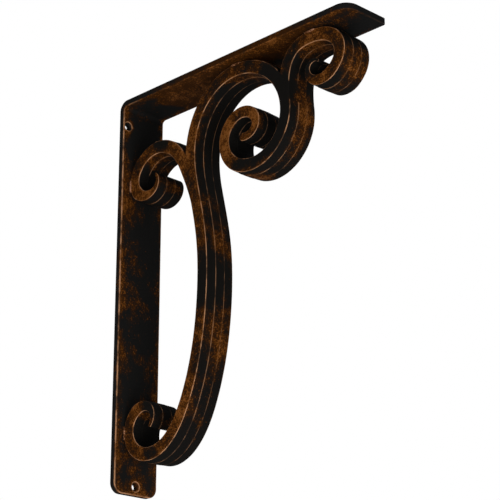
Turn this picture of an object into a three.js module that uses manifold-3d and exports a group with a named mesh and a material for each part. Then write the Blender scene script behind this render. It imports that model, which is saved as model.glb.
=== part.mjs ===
// Scrolled metal shelf bracket: a bent L strap braced by one long scroll with two smaller branch scrolls.
// Millimetres. X runs out from the wall, Y runs across the strap, Z is up.
// The origin is on the strap's back face, half way up the wall leg.
import * as THREE from "three";
import { mergeVertices } from "three/addons/utils/BufferGeometryUtils.js";
import Module from "manifold-3d";

// The L strap.
const ARM_REACH = 301.6;
const WALL_HEIGHT = 387.4;
const STRAP_WIDTH = 50.8;
const STRAP_THICKNESS = 6.35;
const BEND_INSIDE_RADIUS = 3.8;
const FOOT_CORNER_RADIUS = 9.5;
const ARM_NEAR_CORNER_RADIUS = 13;
const ARM_FAR_CORNER_RADIUS = 2;
const STRAP_EDGE_BEVEL = 0.4;

// Countersunk screw holes in the wall leg: a pair below the bend, each close to its long edge, and one
// near the foot.
const HOLE_DIAMETER = 6.2;
const COUNTERSINK_DIAMETER = 9.6;
const PAIR_EDGE_LAND = 1;
const PAIR_BELOW_TOP = 25.4;
const FAR_HOLE_LOWER_BY = 9.5;
const FOOT_HOLE_RISE = 8.1;

// The scroll bar: flat bar with the outer thirds of both wide faces sloped back.
const BAR_WIDTH = 32.6;
const BAR_THICKNESS = 13.9;
const FACET_DROP = 0.6;
const BAR_EDGE_BEVEL = 0.5;
const JOINT_GAP = 0.3;

// How much of a tip's corner radius is taken off each side, so that a little flat is left at the end.
const TIP_ROUNDING_SHARE = 0.98;

// Where the scrolls stand in the L.
const MAIN_FOOT_RISE = 23.9;
const STEM_SETBACK = 84.8;
const ARM_SCROLL_SETBACK = 11.4;
const WALL_SCROLL_RISE = 68.9;
const WALL_SCROLL_ROOT_HEIGHT = 260.2;

// Fineness of the faceting.
const DEGREES_PER_STATION = 7.5;
const LONGEST_FACET = 18;
const LINE_STEP = 0.5;
const HOLE_SEGMENTS = 40;
const BEND_SEGMENTS = 7;
const CORNER_SEGMENTS = 8;

// Each scroll is drawn as a bar that is bent steadily from one radius to the next. A row holds the
// distance along the bar and the radius there: positive bends to the left, negative to the right.
const MAIN_SCROLL = {
  heading: 51.8,
  bends: [
    [0, 24.3], [12.1, 10.3], [34.4, 18.7], [84.4, 27.2], [130.7, 53.2], [170.7, 192],
    [215.8, 272], [269.4, 410], [320.1, 222], [368.6, -12000], [413.9, -79.4],
    [479.3, -55.6], [534.6, -70.1], [575.6, -59.3], [618.9, -41], [678.5, -43.5],
    [730.8, -24.1], [771.2, -21], [787.2, -9.5], [811.2, -27],
  ],
  firstTip: { thickness: 3, length: 40, corner: 1 },
  lastTip: { thickness: 7.9, length: 62.6, corner: 3 },
};
const WALL_SCROLL = {
  heading: 106.3,
  bends: [
    [0, 129.8], [35.4, 1796], [68.9, 38.6], [126.7, 29.6], [145.4, 17.3], [168.2, 18.9],
    [197, 8.6],
  ],
  firstTip: null,
  lastTip: { thickness: 2, length: 45, corner: 0.9 },
};
const ARM_SCROLL = {
  heading: 94.6,
  bends: [
    [0, 345.6], [35.6, -47.8], [59, -22.5], [78.7, -74.8], [102.1, -32.5], [122.4, -17.6],
    [145.2, -28], [175.2, -14.6], [186.5, -8.5], [202.5, -6.6],
  ],
  firstTip: null,
  lastTip: { thickness: 2, length: 51.9, corner: 0.8 },
};

const wallFace = STRAP_THICKNESS;
const top = WALL_HEIGHT / 2;
const foot = -WALL_HEIGHT / 2;
const underArm = top - STRAP_THICKNESS;
const touch = JOINT_GAP + BAR_THICKNESS / 2;

const wasm = await Module();
wasm.setup();

// A closed geometry as a solid for cutting and joining.
function solidOf(geometry) {
  const bare = geometry.clone();
  for (const name of Object.keys(bare.attributes)) {
    if (name !== "position") {
      bare.deleteAttribute(name);
    }
  }
  const merged = mergeVertices(bare, 1e-4);
  return new wasm.Manifold(new wasm.Mesh({
    numProp: 3,
    vertProperties: merged.attributes.position.array,
    triVerts: new Uint32Array(merged.index.array),
  }));
}

function geometryOf(solid) {
  const mesh = solid.getMesh();
  const positions = new Float32Array(mesh.numVert * 3);
  for (let i = 0; i < mesh.numVert; i += 1) {
    positions.set(mesh.vertProperties.subarray(i * mesh.numProp, i * mesh.numProp + 3), i * 3);
  }
  const geometry = new THREE.BufferGeometry();
  geometry.setAttribute("position", new THREE.BufferAttribute(positions, 3));
  geometry.setIndex(new THREE.BufferAttribute(new Uint32Array(mesh.triVerts), 1));
  const faceted = geometry.toNonIndexed();
  faceted.computeVertexNormals();
  return faceted;
}

// The curve that a scroll's bends draw, from (0, 0) along its heading, as closely spaced points.
function drawnLine(scroll) {
  const points = [new THREE.Vector2(0, 0)];
  let heading = THREE.MathUtils.degToRad(scroll.heading);
  let x = 0;
  let z = 0;
  for (let i = 1; i < scroll.bends.length; i += 1) {
    const [from, fromRadius] = scroll.bends[i - 1];
    const [to, toRadius] = scroll.bends[i];
    const pieces = Math.ceil((to - from) / LINE_STEP);
    const stride = (to - from) / pieces;
    for (let k = 0; k < pieces; k += 1) {
      const along = (k + 0.5) / pieces;
      const bend = (1 - along) / fromRadius + along / toRadius;
      heading += bend * stride;
      const middle = heading - (bend * stride) / 2;
      x += Math.cos(middle) * stride;
      z += Math.sin(middle) * stride;
      points.push(new THREE.Vector2(x, z));
    }
  }
  return points;
}

// Moves and stretches a line so that two of its own levels come to two wanted levels in each direction.
function stretched(points, across, up) {
  const scaleX = (across.to[1] - across.to[0]) / (across.from[1] - across.from[0]);
  const scaleZ = (up.to[1] - up.to[0]) / (up.from[1] - up.from[0]);
  return points.map((p) => new THREE.Vector2(
    across.to[0] + (p.x - across.from[0]) * scaleX,
    up.to[0] + (p.y - up.from[0]) * scaleZ,
  ));
}

function extent(points) {
  return new THREE.Box2().setFromPoints(points);
}

function highest(points) {
  return points.reduce((best, p) => (p.y > best.y ? p : best));
}

// The point of a line that reaches furthest out from the wall.
function furthestOut(points) {
  return points.reduce((best, p) => (p.x > best.x ? p : best));
}

// How much of the bar's thickness is left at a distance from a worked end.
function tipThickness(tip, distance) {
  if (!tip) {
    return BAR_THICKNESS;
  }
  const slope = (BAR_THICKNESS - tip.thickness) / tip.length;
  const drawn = Math.min(BAR_THICKNESS, tip.thickness + slope * distance);
  const into = Math.max(0, tip.corner - distance);
  const rounding = tip.corner - Math.sqrt(tip.corner ** 2 - into ** 2);
  return drawn - 2 * rounding * TIP_ROUNDING_SHARE;
}

// Stations along a line: closer where it turns, and at the rounded corners of its ends.
function stationsOf(points, scroll) {
  const distances = [0];
  for (let i = 1; i < points.length; i += 1) {
    distances.push(distances[i - 1] + points[i].distanceTo(points[i - 1]));
  }
  const length = distances[distances.length - 1];
  const picked = new Set([0, points.length - 1]);
  const wantedTurn = THREE.MathUtils.degToRad(DEGREES_PER_STATION);
  let turned = 0;
  let last = 0;
  for (let i = 1; i < points.length - 1; i += 1) {
    const before = points[i].clone().sub(points[i - 1]);
    const after = points[i + 1].clone().sub(points[i]);
    turned += Math.abs(Math.atan2(before.cross(after), before.dot(after)));
    if (turned >= wantedTurn || distances[i] - distances[last] >= LONGEST_FACET) {
      picked.add(i);
      last = i;
      turned = 0;
    }
  }
  for (const [tip, fromEnd] of [[scroll.firstTip, (d) => d], [scroll.lastTip, (d) => length - d]]) {
    if (!tip) {
      continue;
    }
    for (const share of [0.3, 1]) {
      const wanted = tip.corner * share;
      const order = distances.map((d, i) => [Math.abs(fromEnd(d) - wanted), i]);
      picked.add(order.reduce((best, entry) => (entry[0] < best[0] ? entry : best))[1]);
    }
  }
  return [...picked].sort((a, b) => a - b).map((i) => {
    const ahead = points[Math.min(i + 1, points.length - 1)];
    const behind = points[Math.max(i - 1, 0)];
    const tangent = ahead.clone().sub(behind).normalize();
    return {
      at: points[i],
      normal: new THREE.Vector2(-tangent.y, tangent.x),
      thickness: Math.min(
        tipThickness(scroll.firstTip, distances[i]),
        tipThickness(scroll.lastTip, length - distances[i]),
      ),
    };
  });
}

// The bar's section as [across, out] pairs, counter-clockwise, for a bar that may be thinned or grown.
function barSection(thickness, grow) {
  const half = BAR_WIDTH / 2 + grow;
  const out = thickness / 2 + grow;
  const share = Math.min(1, thickness / BAR_THICKNESS);
  const drop = FACET_DROP * share;
  const bevel = BAR_EDGE_BEVEL * share;
  const third = BAR_WIDTH / 6;
  const upper = [
    [half, out - drop - bevel], [half - bevel, out - drop], [third, out],
    [-third, out], [-half + bevel, out - drop], [-half, out - drop - bevel],
  ];
  return [...upper, ...upper.map(([across, rise]) => [-across, -rise])];
}

// A bar swept along a line in the XZ plane, closed at both ends.
function sweptBar(points, scroll, grow = 0) {
  const stations = stationsOf(points, scroll);
  const positions = [];
  const index = [];
  for (const { at, normal, thickness } of stations) {
    for (const [across, out] of barSection(thickness, grow)) {
      positions.push(at.x + normal.x * out, across, at.y + normal.y * out);
    }
  }
  const corners = barSection(BAR_THICKNESS, grow).length;
  for (let ring = 0; ring < stations.length - 1; ring += 1) {
    for (let k = 0; k < corners; k += 1) {
      const a = ring * corners + k;
      const b = ring * corners + ((k + 1) % corners);
      index.push(a, b, a + corners, b, b + corners, a + corners);
    }
  }
  const lastRing = (stations.length - 1) * corners;
  for (let k = 1; k < corners - 1; k += 1) {
    index.push(0, k + 1, k, lastRing, lastRing + k, lastRing + k + 1);
  }
  const geometry = new THREE.BufferGeometry();
  geometry.setAttribute("position", new THREE.Float32BufferAttribute(positions, 3));
  geometry.setIndex(index);
  return solidOf(geometry);
}

// The larger piece that is left of a branch when the bar it springs from is taken out of it.
function branchOff(branch, parent) {
  const pieces = branch.subtract(parent).decompose();
  return pieces.reduce((best, piece) => (piece.volume() > best.volume() ? piece : best));
}

// The side profile of the strap, drawn with its bend, given a thickness along Y with bevelled rims.
function strapBlank() {
  const outside = BEND_INSIDE_RADIUS + STRAP_THICKNESS;
  const bevel = STRAP_EDGE_BEVEL;
  const profile = new THREE.Shape();
  profile.moveTo(bevel, foot + bevel);
  profile.lineTo(wallFace - bevel, foot + bevel);
  profile.lineTo(wallFace - bevel, underArm - BEND_INSIDE_RADIUS);
  profile.absarc(
    wallFace + BEND_INSIDE_RADIUS, underArm - BEND_INSIDE_RADIUS,
    BEND_INSIDE_RADIUS + bevel, Math.PI, Math.PI / 2, true,
  );
  profile.lineTo(ARM_REACH - bevel, underArm + bevel);
  profile.lineTo(ARM_REACH - bevel, top - bevel);
  profile.lineTo(outside, top - bevel);
  profile.absarc(outside, top - outside, outside - bevel, Math.PI / 2, Math.PI, false);
  profile.closePath();
  const geometry = new THREE.ExtrudeGeometry(profile, {
    depth: STRAP_WIDTH - 2 * bevel,
    bevelEnabled: true,
    bevelThickness: bevel,
    bevelSize: bevel,
    bevelSegments: 1,
    curveSegments: BEND_SEGMENTS,
  });
  geometry.translate(0, 0, -STRAP_WIDTH / 2 + bevel);
  geometry.rotateX(Math.PI / 2);
  return solidOf(geometry);
}

// What is cut from a square plate corner at the origin to round it, standing along Z from 0 to depth.
function cornerCutter(radius, depth) {
  const spare = 1;
  const shape = new THREE.Shape();
  shape.moveTo(-spare, -spare);
  shape.lineTo(radius, -spare);
  shape.lineTo(radius, 0);
  shape.absarc(radius, radius, radius, -Math.PI / 2, -Math.PI, true);
  shape.lineTo(-spare, radius);
  shape.closePath();
  return new THREE.ExtrudeGeometry(shape, { depth, bevelEnabled: false, curveSegments: CORNER_SEGMENTS });
}

function roundedEnds(strap) {
  const spare = 1;
  const depth = STRAP_THICKNESS + 2 * spare;
  const edge = STRAP_WIDTH / 2;
  let left = strap;
  for (const side of [1, -1]) {
    const onWall = cornerCutter(FOOT_CORNER_RADIUS, depth);
    onWall.applyMatrix4(new THREE.Matrix4().makeBasis(
      new THREE.Vector3(0, side, 0), new THREE.Vector3(0, 0, 1), new THREE.Vector3(side, 0, 0),
    ));
    onWall.translate(side > 0 ? -spare : STRAP_THICKNESS + spare, -side * edge, foot);
    left = left.subtract(solidOf(onWall));
    const onArm = cornerCutter(side > 0 ? ARM_NEAR_CORNER_RADIUS : ARM_FAR_CORNER_RADIUS, depth);
    onArm.applyMatrix4(new THREE.Matrix4().makeBasis(
      new THREE.Vector3(-1, 0, 0), new THREE.Vector3(0, side, 0), new THREE.Vector3(0, 0, -side),
    ));
    onArm.translate(ARM_REACH, -side * edge, side > 0 ? top + spare : underArm - spare);
    left = left.subtract(solidOf(onArm));
  }
  return left;
}

// A countersunk hole as a solid of turning along X, through the wall leg.
function screwHole(across, height) {
  const spare = 1;
  const bore = HOLE_DIAMETER / 2;
  const mouth = COUNTERSINK_DIAMETER / 2;
  const depth = mouth - bore;
  const outline = [
    [0, -spare], [bore, -spare], [bore, STRAP_THICKNESS - depth],
    [mouth, STRAP_THICKNESS], [mouth + spare, STRAP_THICKNESS + spare], [0, STRAP_THICKNESS + spare],
  ].map(([radius, along]) => new THREE.Vector2(radius, along));
  const geometry = new THREE.LatheGeometry(outline, HOLE_SEGMENTS);
  geometry.rotateZ(-Math.PI / 2);
  geometry.translate(0, across, height);
  return solidOf(geometry);
}

const pairReach = STRAP_WIDTH / 2 - PAIR_EDGE_LAND - COUNTERSINK_DIAMETER / 2;
const pairHeight = top - PAIR_BELOW_TOP;
const strap = roundedEnds(strapBlank())
  .subtract(screwHole(-pairReach, pairHeight))
  .subtract(screwHole(pairReach, pairHeight - FAR_HOLE_LOWER_BY))
  .subtract(screwHole(0, foot + FOOT_HOLE_RISE));

// The main scroll touches the wall leg with its lower volute and the arm with its crown.
const stem = ARM_REACH - STEM_SETBACK;
const mainDrawn = drawnLine(MAIN_SCROLL);
const mainBox = extent(mainDrawn);
const mainLine = stretched(
  mainDrawn,
  { from: [mainBox.min.x, mainBox.max.x], to: [wallFace + touch, stem] },
  {
    from: [mainBox.min.y, mainBox.max.y],
    to: [foot + MAIN_FOOT_RISE + BAR_THICKNESS / 2, underArm - touch],
  },
);

// The wall-side scroll leaves the main scroll's inner side and comes round to the wall leg.
const crown = mainLine.indexOf(highest(mainLine));
const wallRoot = mainLine.slice(0, crown).findLast((p) => p.y <= foot + WALL_SCROLL_ROOT_HEIGHT);
const wallDrawn = drawnLine(WALL_SCROLL);
const wallBox = extent(wallDrawn);
const wallLine = stretched(
  wallDrawn,
  { from: [0, wallBox.min.x], to: [wallRoot.x, wallFace + touch] },
  { from: [0, wallBox.max.y], to: [wallRoot.y, wallRoot.y + WALL_SCROLL_RISE] },
);

// The arm-side scroll goes on up from the main scroll's furthest point and curls back under the arm.
const armRoot = furthestOut(mainLine);
const armDrawn = drawnLine(ARM_SCROLL);
const armBox = extent(armDrawn);
const armLine = stretched(
  armDrawn,
  { from: [0, armBox.max.x], to: [armRoot.x, ARM_REACH - ARM_SCROLL_SETBACK - BAR_THICKNESS / 2] },
  { from: [0, armBox.max.y], to: [armRoot.y, underArm - touch] },
);

const mainBar = sweptBar(mainLine, MAIN_SCROLL);
const mainSpace = sweptBar(mainLine, MAIN_SCROLL, JOINT_GAP);

function part(name, solid, color, roughness, metalness) {
  const material = new THREE.MeshStandardMaterial({ color, roughness, metalness });
  const mesh = new THREE.Mesh(geometryOf(solid), material);
  mesh.name = name;
  return mesh;
}

const bracket = new THREE.Group();
bracket.name = "scroll_bracket";
bracket.add(part("wall_and_arm_strap", strap, "#2b221b", 0.55, 0.7));
bracket.add(part("main_scroll", mainBar, "#33271d", 0.5, 0.7));
bracket.add(part("wall_side_scroll", branchOff(sweptBar(wallLine, WALL_SCROLL), mainSpace), "#3a2a1c", 0.5, 0.7));
bracket.add(part("arm_side_scroll", branchOff(sweptBar(armLine, ARM_SCROLL), mainSpace), "#38291d", 0.5, 0.7));

export default bracket;
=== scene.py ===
"""Looks of the scroll shelf bracket: swept bars, bent strap, weld beads and their rubbed dark finish, with
light and shade painted into its colour in places.
"""

import logging
import math
from dataclasses import dataclass, field
from enum import Enum
from typing import Sequence

import bmesh
import bpy
import numpy as np
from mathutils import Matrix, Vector
from mathutils.bvhtree import BVHTree


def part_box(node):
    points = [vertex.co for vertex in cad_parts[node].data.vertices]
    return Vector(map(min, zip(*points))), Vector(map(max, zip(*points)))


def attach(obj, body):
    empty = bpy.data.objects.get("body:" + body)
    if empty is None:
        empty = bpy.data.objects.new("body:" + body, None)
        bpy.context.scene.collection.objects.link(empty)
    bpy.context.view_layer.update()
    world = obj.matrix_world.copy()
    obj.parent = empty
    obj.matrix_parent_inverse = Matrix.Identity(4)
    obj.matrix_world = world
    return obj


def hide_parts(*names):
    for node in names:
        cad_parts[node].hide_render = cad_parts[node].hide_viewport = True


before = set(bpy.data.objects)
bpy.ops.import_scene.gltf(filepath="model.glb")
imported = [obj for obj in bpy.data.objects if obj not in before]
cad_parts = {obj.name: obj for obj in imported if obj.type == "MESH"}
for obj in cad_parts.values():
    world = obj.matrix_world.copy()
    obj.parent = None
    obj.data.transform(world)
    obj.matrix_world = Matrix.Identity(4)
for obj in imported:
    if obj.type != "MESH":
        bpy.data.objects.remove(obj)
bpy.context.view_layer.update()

LOG = logging.getLogger("bracket")
MILLI = 0.001
SAME_PLACE = 1e-6
CUT_TOLERANCE = 1e-7
JOINT_CLEARANCE = 0.04 * MILLI
LOWER_BEAD_SAG = 0.9 * MILLI
UPPER_BEAD_SAG = 2.7 * MILLI
FLAT_FACE_WEIGHT = 60


class Side(Enum):
    """The bracket's two broad sides across the strap, as signs along Y."""

    NEAR = -1
    FAR = 1


class Slot(Enum):
    """Names of the two material slots."""

    STRAP = "strap_finish"
    SCROLL = "scroll_finish"


class NodeGraph:
    """A node tree with short calls for the nodes that the finishes and the sweeps are made of."""

    def __init__(self, tree: bpy.types.NodeTree) -> None:
        """Wraps a tree.

        Args:
            tree: The shader or geometry tree that the nodes are added to.
        """
        self.tree = tree

    def add(self, kind: str, **settings: object) -> bpy.types.Node:
        """Adds a node.

        Args:
            kind: The node's type name.
            **settings: Properties of the node to set.

        Returns:
            The new node.
        """
        node = self.tree.nodes.new(kind)
        for name, value in settings.items():
            setattr(node, name, value)
        return node

    def feed(self, socket: bpy.types.NodeSocket, value: object) -> None:
        """Links an output into a socket, or sets the socket's own value.

        Args:
            socket: The input socket.
            value: An output socket, or a plain value.
        """
        if isinstance(value, bpy.types.NodeSocket):
            self.tree.links.new(value, socket)
        else:
            socket.default_value = value

    def math(self, operation: str, *values: object, clamp: bool = False) -> bpy.types.NodeSocket:
        """Adds a Math node.

        Args:
            operation: The operation's name.
            *values: Its inputs in order.
            clamp: Whether the result is kept from 0 to 1.

        Returns:
            The node's result.
        """
        node = self.add("ShaderNodeMath", operation=operation, use_clamp=clamp)
        for socket, value in zip(node.inputs, values):
            self.feed(socket, value)
        return node.outputs[0]

    def vector(self, operation: str, *values: object) -> bpy.types.NodeSocket:
        """Adds a Vector Math node.

        Args:
            operation: The operation's name.
            *values: Its inputs in order.

        Returns:
            The node's vector, or its number where the operation gives one.
        """
        node = self.add("ShaderNodeVectorMath", operation=operation)
        for socket, value in zip(node.inputs, values):
            self.feed(socket, value)
        return node.outputs["Value" if operation in ("LENGTH", "DISTANCE", "DOT_PRODUCT") else "Vector"]

    def ramp(self, value: object, low: float, high: float,
             to: tuple[float, float] = (0.0, 1.0)) -> bpy.types.NodeSocket:
        """Adds a smooth step.

        Args:
            value: The number that is mapped.
            low: Where the step starts.
            high: Where it ends.
            to: The results at the start and at the end.

        Returns:
            The mapped number.
        """
        node = self.add("ShaderNodeMapRange", interpolation_type="SMOOTHSTEP")
        given = {"Value": value, "From Min": low, "From Max": high, "To Min": to[0], "To Max": to[1]}
        for name, number in given.items():
            self.feed(node.inputs[name], number)
        return node.outputs["Result"]

    def noise(self, at: object, size: float, detail: float = 3.0,
              rough: float = 0.55) -> bpy.types.NodeSocket:
        """Adds a noise whose blotches have a given size.

        Args:
            at: The coordinates.
            size: Size of a blotch in metres.
            detail: Number of finer octaves.
            rough: Strength of the finer octaves.

        Returns:
            The noise, from 0 to 1.
        """
        node = self.add("ShaderNodeTexNoise")
        self.feed(node.inputs["Vector"], at)
        node.inputs["Scale"].default_value = 1.0 / size
        node.inputs["Detail"].default_value = detail
        node.inputs["Roughness"].default_value = rough
        return node.outputs[0]

    def blend(self, share: object, under: object, over: object) -> bpy.types.NodeSocket:
        """Mixes two colours.

        Args:
            share: How much of the upper colour is taken.
            under: The lower colour.
            over: The upper colour.

        Returns:
            The mixed colour.
        """
        node = self.add("ShaderNodeMix", data_type="RGBA")
        self.feed(node.inputs["Factor"], share)
        self.feed(node.inputs[6], under)
        self.feed(node.inputs[7], over)
        return node.outputs[2]

    def split(self, vector: object) -> bpy.types.bpy_prop_collection:
        """Takes a vector apart.

        Args:
            vector: The vector.

        Returns:
            Its x, y and z, in that order.
        """
        node = self.add("ShaderNodeSeparateXYZ")
        self.feed(node.inputs[0], vector)
        return node.outputs

    def attribute(self, name: str) -> bpy.types.Node:
        """Adds a shader's Attribute node that reads one of the piece's own attributes."""
        return self.add("ShaderNodeAttribute", attribute_name=name)

    def place(self) -> bpy.types.NodeSocket:
        """The place of a shaded point in the piece's own coordinates."""
        return self.add("ShaderNodeTexCoord").outputs["Object"]


@dataclass(frozen=True)
class WearAndLightSpot:
    """A ball in which the dark coat is rubbed more, or less where its strength is negative. Some stand for
    wear; some paint shade into the scrolls' hollows, and a strap spot paints a highlight.
    """

    at: tuple[float, float, float]
    reach: float
    strength: float
    film: float = 0.0
    mutes_line: bool = False


@dataclass(frozen=True)
class RubbedFinishWithPaintedLight:
    """Near-black brown coat over copper-brown, rubbed through in blotches, on side faces and along edges.

    Wear is a number that grows where the coat is rubbed and where light is painted, and falls where shade is
    painted. The ranges are the values of wear, or of the flecks made from it, between which a layer comes
    through.
    """

    name: str
    side_bias: float
    face_bias: float
    line_strength: float
    side_at: float = 16.3 * MILLI
    side_fade: tuple[float, float] = (0.5 * MILLI, 0.2 * MILLI)
    ridge_band: tuple[float, float] = (9 * MILLI, 13 * MILLI)
    ridge_line: float = 0.55
    line_width: float = 0.62 * MILLI
    line_core: float = 0.2
    line_patch: float = 12 * MILLI
    line_patch_range: tuple[float, float] = (0.38, 0.60)
    line_faintest: float = 0.14
    line_shade_range: tuple[float, float] = (-0.55, -0.36)
    mute_from: float = 0.6
    muted_line: float = 0.1
    halo_width: float = 3.6 * MILLI
    halo_strength: float = 0.10
    spots: tuple[WearAndLightSpot, ...] = ()
    dark: tuple[float, float, float, float] = (0.0074, 0.0067, 0.0059, 1.0)
    film: tuple[float, float, float, float] = (0.036, 0.0114, 0.0014, 1.0)
    brown: tuple[float, float, float, float] = (0.086, 0.0265, 0.0032, 1.0)
    copper: tuple[float, float, float, float] = (0.19, 0.066, 0.014, 1.0)
    bright: tuple[float, float, float, float] = (0.50, 0.25, 0.125, 1.0)
    blotch: float = 38 * MILLI
    cloud: float = 9 * MILLI
    grain: float = 2.2 * MILLI
    speck: float = 1.1 * MILLI
    blotch_weight: float = 0.7
    cloud_weight: float = 0.95
    wear_weight: float = 0.55
    grain_weight: float = 0.55
    speck_weight: float = 0.45
    film_range: tuple[float, float] = (0.56, 1.02)
    film_most: float = 0.9
    brown_range: tuple[float, float] = (0.95, 1.09)
    copper_range: tuple[float, float] = (1.05, 1.20)
    roughness: tuple[float, float] = (0.58, 0.44)
    speck_roughness: float = 0.14
    metallic: float = 0.04
    gloss: float = 0.03
    relief_grain: float = 0.7
    relief_speck: float = 0.3
    relief_strength: float = 0.35
    relief_height: float = 0.35 * MILLI

    def edge_distance(self, graph: NodeGraph) -> bpy.types.NodeSocket:
        """The distance to the nearest edge or ridge, which a swept bar carries as an attribute."""
        return graph.attribute("edge_gap").outputs["Fac"]

    def from_middle(self, graph: NodeGraph) -> bpy.types.NodeSocket:
        """The distance from the plane through the bracket's middle."""
        return graph.math("ABSOLUTE", graph.split(graph.place())[1])

    def side_share(self, graph: NodeGraph) -> bpy.types.NodeSocket:
        """Tells a bar's narrow side faces from its wide faces.

        Args:
            graph: The material's graph.

        Returns:
            1 on the side faces and 0 on the wide faces.
        """
        start, end = self.side_fade
        return graph.ramp(self.from_middle(graph), self.side_at - start, self.side_at - end)

    def line_share(self, graph: NodeGraph) -> bpy.types.NodeSocket:
        """Makes the lines fainter on the wide faces' inner ridges than along their edges."""
        return graph.ramp(self.from_middle(graph), *self.ridge_band, (self.ridge_line, 1.0))

    def spot_share(self, graph: NodeGraph, at: bpy.types.NodeSocket,
                   strengths: Sequence[float]) -> bpy.types.NodeSocket | float:
        """Adds up the spots: rubbed places, painted shade and a painted highlight.

        Args:
            graph: The material's graph.
            at: The object coordinates.
            strengths: How strong each of the spots is at its middle.

        Returns:
            Their summed share at each point.
        """
        total: bpy.types.NodeSocket | float = 0.0
        for spot, strength in zip(self.spots, strengths):
            if strength:
                distance = graph.vector("DISTANCE", at, spot.at)
                share = graph.ramp(distance, spot.reach, 0.0, (0.0, strength))
                total = graph.math("ADD", total, share)
        return total

    def _wear_and_painted_light(self, graph: NodeGraph, at: bpy.types.NodeSocket,
              edge: bpy.types.NodeSocket) -> bpy.types.NodeSocket:
        """Adds up how much the coat is rubbed at each point, with the light and shade painted by the spots
        and by the bars' attribute.

        Args:
            graph: The material's graph.
            at: The object coordinates.
            edge: The distance to the nearest edge.

        Returns:
            The wear, with its painted light and shade.
        """
        side_step = self.side_bias - self.face_bias
        bias = graph.math("MULTIPLY_ADD", self.side_share(graph), side_step, self.face_bias)
        # The spots: wear, painted shade in hollows and a painted highlight.
        bias = graph.math("ADD", bias, self.spot_share(graph, at, [spot.strength for spot in self.spots]))
        # The bars' painted light and shade, from each face's direction and curl.
        bias = graph.math("ADD", bias, graph.attribute("rub").outputs["Fac"])
        bias = graph.math("ADD", bias, graph.ramp(edge, self.halo_width, 0.0, (0.0, self.halo_strength)))
        blotch = graph.noise(at, self.blotch, detail=2.0)
        cloud = graph.noise(at, self.cloud, detail=4.0, rough=0.6)
        blotched = graph.math("MULTIPLY_ADD", blotch, self.blotch_weight, bias)
        return graph.math("MULTIPLY_ADD", cloud, self.cloud_weight, blotched)

    def _line(self, graph: NodeGraph, at: bpy.types.NodeSocket,
              edge: bpy.types.NodeSocket) -> bpy.types.NodeSocket:
        """Makes the thin bright lines along edges and ridges, which fade in patches and where the painted
        shade of the hollows is deep.

        Args:
            graph: The material's graph.
            at: The object coordinates.
            edge: The distance to the nearest edge.

        Returns:
            The lines' share of the colour.
        """
        # The lines give way where the bars' painted shade of the hollows is deep.
        kept = graph.ramp(graph.attribute("rub").outputs["Fac"], *self.line_shade_range)
        for spot in self.spots:
            if spot.mutes_line:
                distance = graph.vector("DISTANCE", at, spot.at)
                muted = graph.ramp(distance, spot.reach * self.mute_from, spot.reach, (self.muted_line, 1.0))
                kept = graph.math("MULTIPLY", kept, muted)
        patch = graph.noise(at, self.line_patch, detail=3.0)
        faint = graph.ramp(patch, *self.line_patch_range, (self.line_faintest, 1.0))
        line = graph.ramp(edge, self.line_width, self.line_width * self.line_core)
        line = graph.math("MULTIPLY", line, graph.math("MULTIPLY", faint, kept))
        line = graph.math("MULTIPLY", line, self.line_share(graph))
        return graph.math("MULTIPLY", line, self.line_strength, clamp=True)

    def build(self) -> bpy.types.Material:
        """Makes the material.

        Returns:
            The finished material.
        """
        material = bpy.data.materials.new(self.name)
        material.use_nodes = True
        graph = NodeGraph(material.node_tree)
        shader = material.node_tree.nodes["Principled BSDF"]
        at = graph.place()
        edge = self.edge_distance(graph)
        grain = graph.noise(at, self.grain, detail=2.0, rough=0.6)
        speck = graph.noise(at, self.speck, detail=1.0, rough=0.5)
        wear_and_painted_light = self._wear_and_painted_light(graph, at, edge)
        filmed = graph.math("ADD", wear_and_painted_light, self.spot_share(graph, at, [spot.film for spot in self.spots]))
        specks = graph.math("MULTIPLY", speck, self.speck_weight)
        fine = graph.math("MULTIPLY_ADD", grain, self.grain_weight, specks)
        flecks = graph.math("ADD", graph.math("MULTIPLY", wear_and_painted_light, self.wear_weight), fine)
        through = graph.ramp(flecks, *self.brown_range)
        film_share = graph.ramp(filmed, *self.film_range, (0.0, self.film_most))
        colour = graph.blend(film_share, self.dark, self.film)
        colour = graph.blend(through, colour, self.brown)
        colour = graph.blend(graph.ramp(flecks, *self.copper_range), colour, self.copper)
        colour = graph.blend(self._line(graph, at, edge), colour, self.bright)
        graph.feed(shader.inputs["Base Color"], colour)
        rough = graph.ramp(through, 0.0, 1.0, self.roughness)
        graph.feed(shader.inputs["Roughness"], graph.math("MULTIPLY_ADD", speck, self.speck_roughness, rough))
        shader.inputs["Metallic"].default_value = self.metallic
        shader.inputs["Specular IOR Level"].default_value = self.gloss
        bump = graph.add("ShaderNodeBump")
        pits = graph.math("MULTIPLY", speck, self.relief_speck)
        graph.feed(bump.inputs["Height"], graph.math("MULTIPLY_ADD", grain, self.relief_grain, pits))
        bump.inputs["Strength"].default_value = self.relief_strength
        bump.inputs["Distance"].default_value = self.relief_height
        graph.feed(shader.inputs["Normal"], bump.outputs["Normal"])
        return material


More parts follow.
